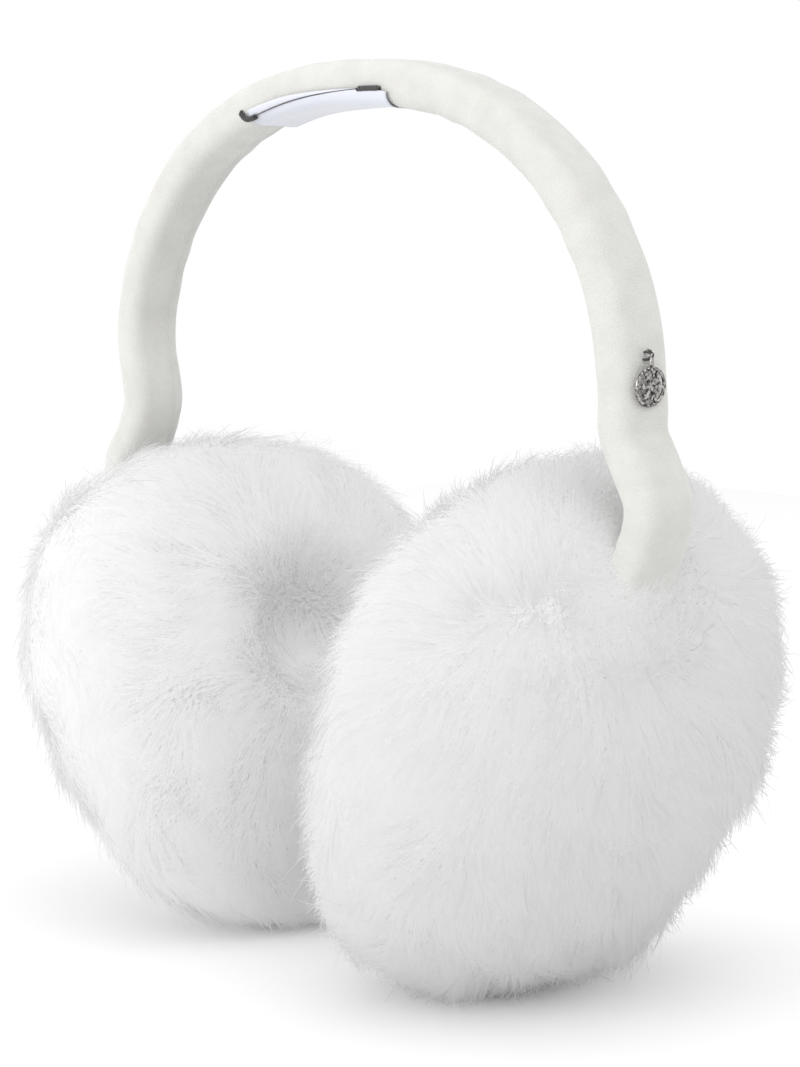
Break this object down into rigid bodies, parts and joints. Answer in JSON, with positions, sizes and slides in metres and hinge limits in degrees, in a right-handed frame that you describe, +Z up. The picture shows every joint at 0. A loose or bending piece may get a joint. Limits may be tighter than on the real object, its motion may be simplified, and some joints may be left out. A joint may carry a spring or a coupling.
{
  "type": "fur earmuffs",
  "caption": "Fur earmuffs that stand on their cups: a padded velvet headband bent into an arch, a deep fur cup with an ear hollow at each end, a satin label and a small openwork charm.",
  "frame": {"origin": "on the floor, midway between the two cups that stand on it", "axes": "+Z up; +X towards the leg of the headband that carries the charm; -Y to the front, the side that the headband stands nearer to"},
  "size_m": [0.2175, 0.1318, 0.2225],
  "materials": {
    "velvet": "short-pile velvet, off-white",
    "fur": "dense soft fur, white",
    "satin": "bare satin ribbon, cool white",
    "gunmetal": "polished dark nickel",
    "dark_thread": "black twisted thread"
  },
  "bodies": {
    "root": {"headband": "velvet", "right_ear_cup": "fur", "left_ear_cup": "fur", "care_label": "satin", "charm": "gunmetal", "jump_ring": "gunmetal", "thread_tack": "dark_thread"}
  },
  "joints": []
}
